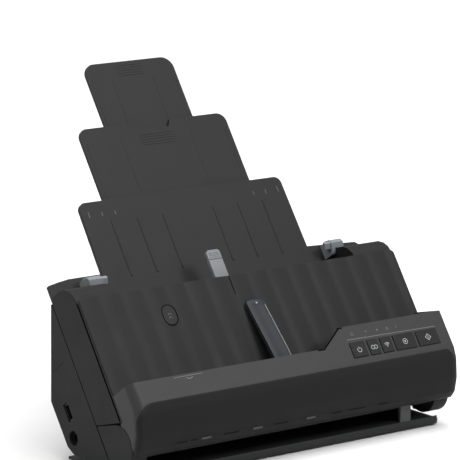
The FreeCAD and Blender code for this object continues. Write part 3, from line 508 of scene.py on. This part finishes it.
for i in range(HUB):
    j = (i + 1) % HUB
    bm.faces.new((rings[0][0][i], rings[0][0][j], rings[1][0][j], rings[1][0][i]))
    bm.faces.new((rings[0][1][j], rings[0][1][i], rings[1][1][i], rings[1][1][j]))
    bm.faces.new((rings[0][0][j], rings[0][0][i], rings[0][1][i], rings[0][1][j]))
    bm.faces.new((rings[1][0][i], rings[1][0][j], rings[1][1][j], rings[1][1][i]))
hub = soften(piece("output_lever_hub", bm, lever_grey, "lever"), 0.25, 2, 40)
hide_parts("output_lever")


def on_lever(x, w, lift):
    return lean(x, lever_v(x, w) - lift, w)


def lever_strip(bm, pts, width, lift=0.12, sink=-0.3):
    sd = stroke(pts, width)
    rows = []
    for a, b in sd:
        q = [on_lever(a[0], a[1], lift), on_lever(b[0], b[1], lift), on_lever(b[0], b[1], sink), on_lever(a[0], a[1], sink)]
        if any(v is None for v in q):
            continue
        rows.append([bm.verts.new(v) for v in q])
    for i in range(len(rows) - 1):
        p, q = rows[i], rows[i + 1]
        for c in range(4):
            d = (c + 1) % 4
            bm.faces.new((p[c], q[c], q[d], p[d]))
    if len(rows) > 1:
        bm.faces.new(rows[0])
        bm.faces.new(list(reversed(rows[-1])))


# painted highlight: a pale strip down one edge of the lever
bm = bmesh.new()
lever_strip(bm, [(7.0, -86 + i * 2.1) for i in range(28)], 0.5)
piece("lever_edge_painted_highlight", bm, lever_light, "lever", smooth=False)
bm = bmesh.new()
for i in range(7):
    x = -5.4 + i * 1.8
    lever_strip(bm, [(x, -79.6), (x, -78.7)], 0.8, lift=0.18)
lever_strip(bm, [(-0.7, -27.2), (0.7, -27.2)], 1.3, lift=0.2)
piece("lever_grip_dots", bm, lever_light, "lever", smooth=False)

bm = bmesh.new()
for w in (19.6, 21.2, 22.8):
    solid(bm, [lean(-16.0, 7.65, w - 0.22), lean(-7.0, 7.65, w - 0.22), lean(-7.0, 7.65, w + 0.22), lean(-16.0, 7.65, w + 0.22)],
          [lean(-16.3, 8.2, w - 0.45), lean(-6.7, 8.2, w - 0.45), lean(-6.7, 8.2, w + 0.45), lean(-16.3, 8.2, w + 0.45)])
piece("arm_grip", bm, arm_grey, "arm", smooth=False)
bm = bmesh.new()
line(bm, [(-17.6, 17.6), (-5.4, 17.6)], 0.4, 7.93, 8.15)
piece("arm_cap_line", bm, seam_black_and_painted_shade, "arm", smooth=False)

# shadow lines where the rear housing meets the mid frame, seen on both ends
for side, x in (("left", -150.0), ("right", 150.0)):
    sg = -1 if x < 0 else 1
    bm = bmesh.new()
    loop = [(32.85, 10.2), (33.7, 10.2), (33.7, -114.2), (32.85, -114.2)]
    solid(bm, [lean(x + sg * 0.03, v, w) for v, w in loop], [lean(x - sg * 0.9, v, w) for v, w in loop])
    piece("casing_split_" + side, bm, seam_black_and_painted_shade, "casing", smooth=False)

# painted shade in the gaps: a near-black strip in the gap between the mid frame and the cover, and one round the cover
# button
for side, x in (("left", -150.0), ("right", 150.0)):
    sg = -1 if x < 0 else 1
    bm = bmesh.new()
    loop = [(3.06, -3.0), (3.42, -3.0), (3.42, -97.5), (3.06, -97.5)]
    solid(bm, [lean(x - sg * 0.02, v, w) for v, w in loop], [lean(x - sg * 2.5, v, w) for v, w in loop])
    piece("cover_gap_painted_shade_" + side, bm, seam_black_and_painted_shade, "casing", smooth=False)
bm = bmesh.new()


def oval(r):
    return [(-76.2 + r * math.cos(math.radians(q)), -23.9 + (2.0 if math.sin(math.radians(q)) > 0 else -2.0) + r * math.sin(math.radians(q))) for q in range(15, 375, 10)]


# painted shade: a near-black ring set in the gap round the cover button
oi, oo = oval(6.03), oval(6.5)
m = len(oi)
vr = [[bm.verts.new(lean(p[0], v, p[1])) for p in loop] for loop, v in ((oi, 0.12), (oo, 0.12), (oo, 1.2), (oi, 1.2))]
for i in range(m):
    j = (i + 1) % m
    for c in range(4):
        d = (c + 1) % 4
        bm.faces.new((vr[c][i], vr[c][j], vr[d][j], vr[d][i]))
piece("button_gap_painted_shade", bm, seam_black_and_painted_shade, "cover", smooth=False)

# painted shadow line down the panel's outer edges, and painted shade along the key panel's step
for side, sg in (("left", -1), ("right", 1)):
    bm = bmesh.new()
    loop = [(2.15, -3.4), (2.96, -3.4), (2.96, -97.0), (2.15, -97.0)]
    solid(bm, [lean(sg * 149.63, v, w) for v, w in loop], [lean(sg * 149.4, v, w) for v, w in loop])
    piece("panel_edge_" + side, bm, seam_black_and_painted_shade, "cover", smooth=False)
# painted shade: a near-black strip along the key panel's step, standing in for the shade of its side
bm = bmesh.new()
line(bm, [(24.0, -79 - 0.5), (29.8, -79 - 0.5), (49.8, -64.5 - 0.5), (53.0, -64.5 - 0.5)], 1.1, -23.87, -23.6)
piece("ridge_step_painted_shade", bm, seam_black_and_painted_shade, "cover", smooth=False)

# rear: a parting line and a plain blank label plate
bm = bmesh.new()
solid(bm, [lean(-149.0, 79.53, -50.8), lean(149.0, 79.53, -50.8), lean(149.0, 79.53, -51.3), lean(-149.0, 79.53, -51.3)],
      [lean(-149.0, 78.8, -50.8), lean(149.0, 78.8, -50.8), lean(149.0, 78.8, -51.3), lean(-149.0, 78.8, -51.3)])
piece("rear_parting_line", bm, seam_black_and_painted_shade, "casing", smooth=False)
d0, d1 = Vector((36.0, 11.4)), Vector((79.5, -48.6))
dv = (d1 - d0).normalized()
nv = Vector((-dv.y, dv.x))


def slope(x, t, up):
    p = d0 + dv * t + nv * up
    return lean(x, p.x, p.y)


bm = bmesh.new()
box4 = [(34 - 3, 24), (34, 27), (34, 49), (31, 52), (-31, 52), (-34, 49), (-34, 27), (-31, 24)]
solid(bm, [slope(x, t, 0.22) for x, t in box4], [slope(x, t, -0.3) for x, t in box4])
soften(piece("rear_blank_label", bm, material("label_satin", (0.017, 0.017, 0.0175), 0.35, grain=0.006, spec=0.3), "casing", smooth=False), 0.12, 2)

# raised rims on the tray leaves, lower than the 0.3 mm the leaves run apart
for nm, body, v, hw, w0, w1 in (("extension_rims", "extension", 37.8, 66.0, 92.0, 138.0), ("tip_rims", "tip", 40.5, 38.5, 152.0, 190.0)):
    bm = bmesh.new()
    for xx in (-hw, -hw * 0.5, hw * 0.5, hw):
        solid(bm, [lean(xx - 0.6, v - 0.2, w0 + 0.3), lean(xx + 0.6, v - 0.2, w0 + 0.3), lean(xx + 0.6, v - 0.2, w1 - 0.3), lean(xx - 0.6, v - 0.2, w1 - 0.3)],
              [lean(xx - 0.9, v + 0.2, w0), lean(xx + 0.9, v + 0.2, w0), lean(xx + 0.9, v + 0.2, w1), lean(xx - 0.9, v + 0.2, w1)])
    soften(piece(nm, bm, tray_black, body, smooth=False), 0.08, 2)

# a seam across the housing's left side and right side
for side, x in (("left", -150.0), ("right", 150.0)):
    bm = bmesh.new()
    sg = -1 if x < 0 else 1
    a, b = Vector((33.6, -61.9)), Vector((20.0, -52.3))
    nrm = Vector((-(b - a).y, (b - a).x)).normalized() * 0.16
    loop = [a + nrm, b + nrm, b - nrm, a - nrm]
    solid(bm, [desk(x + sg * 0.03, p.x, p.y) for p in loop], [desk(x - sg * 0.2, p.x, p.y) for p in loop])
    piece("housing_seam_" + side, bm, seam_black_and_painted_shade, "casing", smooth=False)

# tray: stiffening ribs, grip bars and plain size marks
bm = bmesh.new()
for x in (-72, -48, -24, 24, 48, 72):
    solid(bm, [lean(x - 0.6, 33.45, w) for w in (24,)] + [lean(x + 0.6, 33.45, 24), lean(x + 0.6, 33.45, 70), lean(x - 0.6, 33.45, 70)],
          [lean(x - 1.0, 34.1, 23.5), lean(x + 1.0, 34.1, 23.5), lean(x + 1.0, 34.1, 70.5), lean(x - 1.0, 34.1, 70.5)])
soften(piece("tray_ribs", bm, tray_black, "casing", smooth=False), 0.25, 2)
bm = bmesh.new()
for i in range(5):
    w = 131 + i * 2.2
    solid(bm, [lean(-16, 37.6, w - 0.4), lean(16, 37.6, w - 0.4), lean(16, 37.6, w + 0.4), lean(-16, 37.6, w + 0.4)],
          [lean(-16.4, 38.1, w - 0.7), lean(16.4, 38.1, w - 0.7), lean(16.4, 38.1, w + 0.7), lean(-16.4, 38.1, w + 0.7)])
soften(piece("extension_grip", bm, tray_black, "extension", smooth=False), 0.08, 2)
bm = bmesh.new()
for i in range(5):
    w = 193 + i * 2.2
    solid(bm, [lean(-12, 40.3, w - 0.4), lean(12, 40.3, w - 0.4), lean(12, 40.3, w + 0.4), lean(-12, 40.3, w + 0.4)],
          [lean(-12.4, 40.8, w - 0.7), lean(12.4, 40.8, w - 0.7), lean(12.4, 40.8, w + 0.7), lean(-12.4, 40.8, w + 0.7)])
soften(piece("tip_grip", bm, tray_black, "tip", smooth=False), 0.08, 2)
bm = bmesh.new()
for x, ww in ((-90, 5), (-78, 3.5), (-66, 3.5), (66, 3.5), (78, 3.5), (90, 5)):
    line(bm, [(x, 75), (x, 75 + ww)], 0.5, 33.9, 34.1)
piece("tray_size_marks", bm, icon_grey, "casing", smooth=False)

# ---------------------------------------------------------------- floor, light, camera
bm = bmesh.new()
bmesh.ops.create_circle(bm, cap_ends=True, segments=96, radius=1.55)
me = bpy.data.meshes.new("floor")
bm.to_mesh(me)
bm.free()
floor = bpy.data.objects.new("floor", me)
floor.location = (0, 0, -0.0001)
scene.collection.objects.link(floor)
fm = bpy.data.materials.new("floor_white")
fm.use_nodes = True
fb = fm.node_tree.nodes["Principled BSDF"]
fb.inputs["Base Color"].default_value = (0.8, 0.8, 0.8, 1)
fb.inputs["Roughness"].default_value = 0.9
fb.inputs["Specular IOR Level"].default_value = 0.1
# the floor brightens a little away from the object, so that its rim doesn't show against the background
ft = fm.node_tree
fc = ft.nodes.new("ShaderNodeTexCoord")
fv = ft.nodes.new("ShaderNodeVectorMath")
fv.operation = "LENGTH"
fr = ft.nodes.new("ShaderNodeMapRange")
fr.inputs["From Min"].default_value = 0.45
fr.inputs["From Max"].default_value = 1.2
fr.inputs["To Min"].default_value = 0.0
fr.inputs["To Max"].default_value = 0.22
ft.links.new(fc.outputs["Object"], fv.inputs[0])
ft.links.new(fv.outputs["Value"], fr.inputs["Value"])
ft.links.new(fr.outputs["Result"], fb.inputs["Emission Strength"])
fb.inputs["Emission Color"].default_value = (1, 1, 1, 1)
me.materials.append(fm)

world = bpy.data.worlds.new("studio")
world.use_nodes = True
wt = world.node_tree
wt.nodes["Background"].inputs["Color"].default_value = (1, 1, 1, 1)
lp = wt.nodes.new("ShaderNodeLightPath")
wr = wt.nodes.new("ShaderNodeMapRange")
wr.inputs["To Min"].default_value = 0.30
wr.inputs["To Max"].default_value = 1.1
wt.links.new(lp.outputs["Is Camera Ray"], wr.inputs["Value"])
wt.links.new(wr.outputs["Result"], wt.nodes["Background"].inputs["Strength"])
scene.world = world


def area(name, loc, target, size, power, colour=(1, 1, 1)):
    d = bpy.data.lights.new(name, "AREA")
    d.shape = "RECTANGLE"
    d.size, d.size_y = size
    d.energy = power
    d.color = colour
    o = bpy.data.objects.new(name, d)
    o.location = loc
    o.rotation_euler = (Vector(target) - Vector(loc)).to_track_quat("-Z", "Y").to_euler()
    scene.collection.objects.link(o)
    return o


area("top", (0.2, -0.25, 2.2), (0, -0.05, 0.0), (2.6, 2.2), 72)
area("key", (0.6, -1.3, 1.15), (0, -0.03, 0.10), (0.45, 0.45), 13.5)
area("fill", (-1.3, 0.2, 0.9), (0, -0.03, 0.06), (0.5, 0.5), 5.5)
area("back", (-0.2, 1.9, 1.6), (0, 0, 0.1), (2.2, 0.9), 14)

a, e = math.radians(36.62), math.radians(11.5)
F = Vector((math.sin(a) * math.cos(e), math.cos(a) * math.cos(e), -math.sin(e)))
R = Vector((math.cos(a), -math.sin(a), 0))
U = Vector((math.sin(a) * math.sin(e), math.cos(a) * math.sin(e), math.cos(e)))
cam = bpy.data.cameras.new("camera")
cam.sensor_width = 36
cam.lens = 261.55
cam.clip_start = 0.05
cam.clip_end = 60
co = bpy.data.objects.new("camera", cam)
co.matrix_world = Matrix(((R.x, U.x, -F.x, -1.4878), (R.y, U.y, -F.y, -2.0250), (R.z, U.z, -F.z, 0.6661), (0, 0, 0, 1)))
scene.collection.objects.link(co)
scene.camera = co
scene.view_settings.view_transform = "Standard"

bpy.context.view_layer.update()
